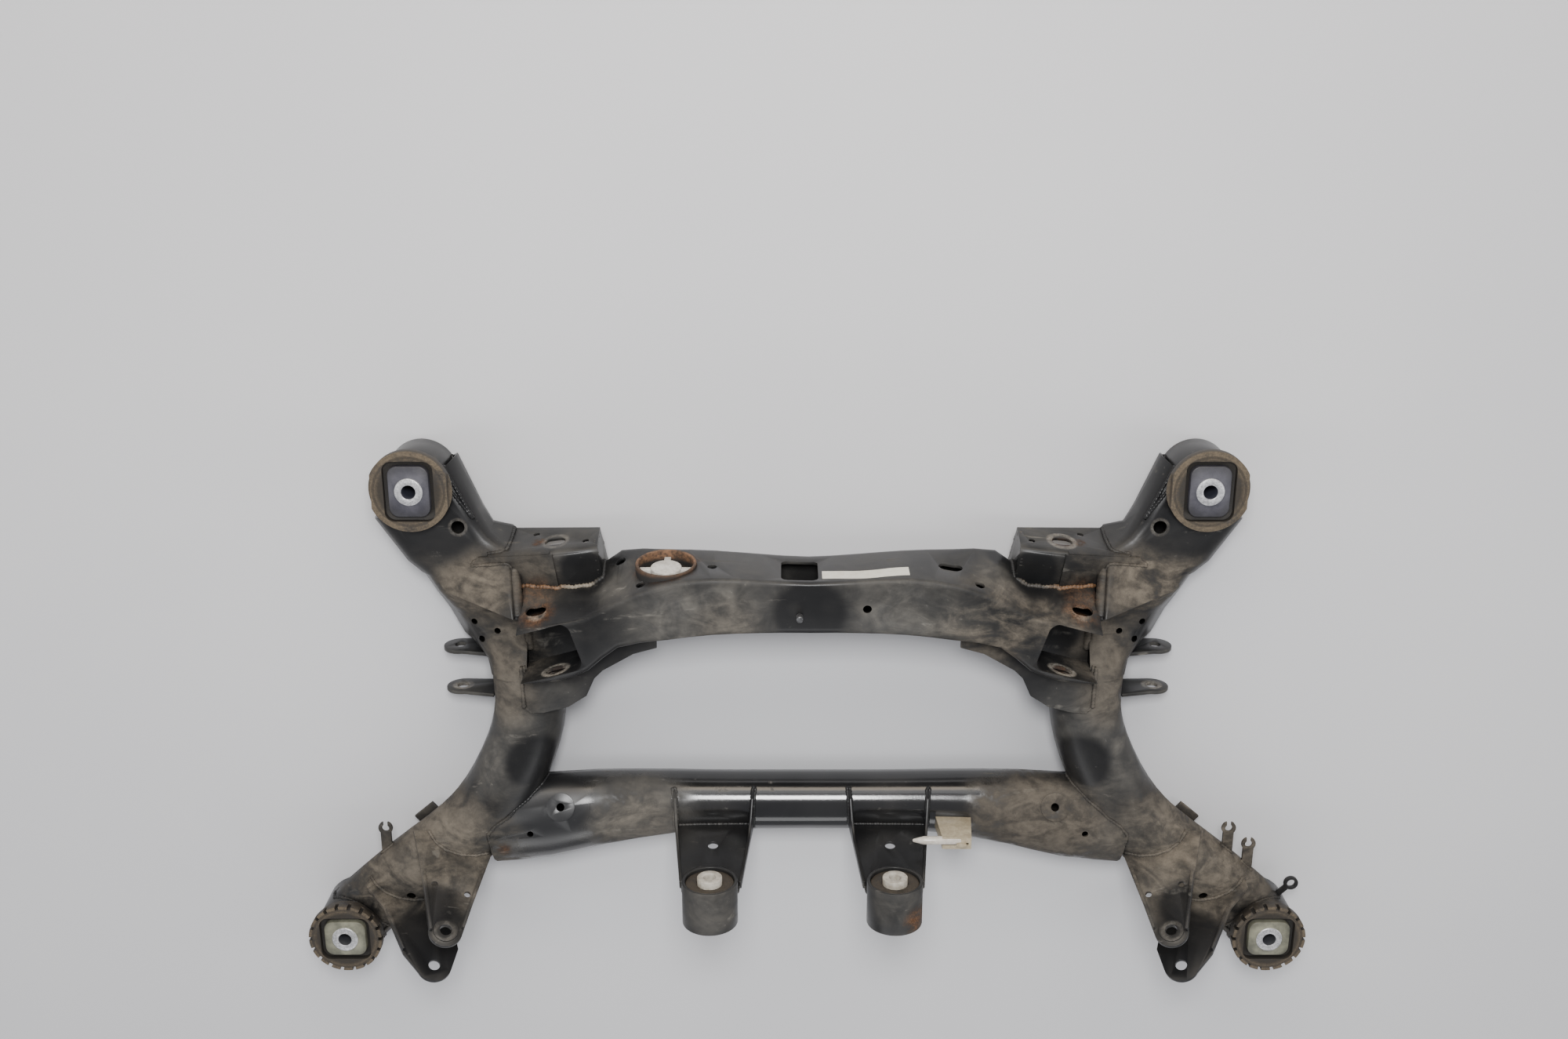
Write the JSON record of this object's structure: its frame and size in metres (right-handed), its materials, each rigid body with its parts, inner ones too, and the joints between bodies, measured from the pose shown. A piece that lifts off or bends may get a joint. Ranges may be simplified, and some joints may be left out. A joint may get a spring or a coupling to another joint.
{
  "type": "rear axle subframe",
  "caption": "Welded steel rear axle subframe with a boxed front crossmember, bent side tubes, link brackets, rubber body mounts and differential bush arms.",
  "frame": {"origin": "on the plane under the body-side ends of the mounts, at the middle of the plan", "axes": "+X to the picture's right, +Y to the vehicle's front, +Z to the vehicle's underside"},
  "size_m": [1.122, 0.61, 0.214],
  "materials": {
    "painted_steel": "black coating, worn, dusty",
    "gloss_paint": "black coating, glossy",
    "bush_rubber": "dusty moulded rubber",
    "mount_core": "cast, dull grey",
    "bush_core": "pale, dusty",
    "rusty_steel": "rusted",
    "white_plastic": "moulded",
    "clip_plastic": "moulded, aged",
    "bare_steel": "plated"
  },
  "bodies": {
    "root": {"front_crossmember": "painted_steel", "rear_cross_tube": "gloss_paint", "left_front_arm": "painted_steel", "right_front_arm": "painted_steel", "left_side_tube": "painted_steel", "right_side_tube": "painted_steel", "left_corner_gusset": "painted_steel", "right_corner_gusset": "painted_steel", "front_left_sleeve": "painted_steel", "front_right_sleeve": "painted_steel", "rear_left_sleeve": "painted_steel", "rear_right_sleeve": "painted_steel", "front_left_rubber": "bush_rubber", "front_right_rubber": "bush_rubber", "rear_left_rubber": "bush_rubber", "rear_right_rubber": "bush_rubber", "front_left_core": "mount_core", "front_right_core": "mount_core", "rear_left_core": "mount_core", "rear_right_core": "mount_core", "left_diff_arm": "painted_steel", "right_diff_arm": "painted_steel", "left_diff_housing": "painted_steel", "right_diff_housing": "painted_steel", "left_diff_rubber": "bush_rubber", "right_diff_rubber": "bush_rubber", "left_diff_core": "bush_core", "right_diff_core": "bush_core", "nose_bush_ring": "rusty_steel", "nose_bush_rubber": "bush_rubber", "nose_bush_insert": "white_plastic", "left_link_bracket": "painted_steel", "right_link_bracket": "painted_steel", "left_link_clevis": "painted_steel", "right_link_clevis": "painted_steel", "left_outer_ear_front": "painted_steel", "right_outer_ear_front": "painted_steel", "left_outer_ear_rear": "painted_steel", "right_outer_ear_rear": "painted_steel", "left_lower_ear_front": "painted_steel", "right_lower_ear_front": "painted_steel", "left_lower_ear_rear": "painted_steel", "right_lower_ear_rear": "painted_steel", "left_rear_tab": "painted_steel", "right_rear_tab": "painted_steel", "left_line_clip": "painted_steel", "right_line_clip": "painted_steel", "right_ring_clip": "painted_steel", "harness_clip": "clip_plastic", "harness_pin": "clip_plastic", "crossmember_stud": "bare_steel"}
  },
  "joints": []
}
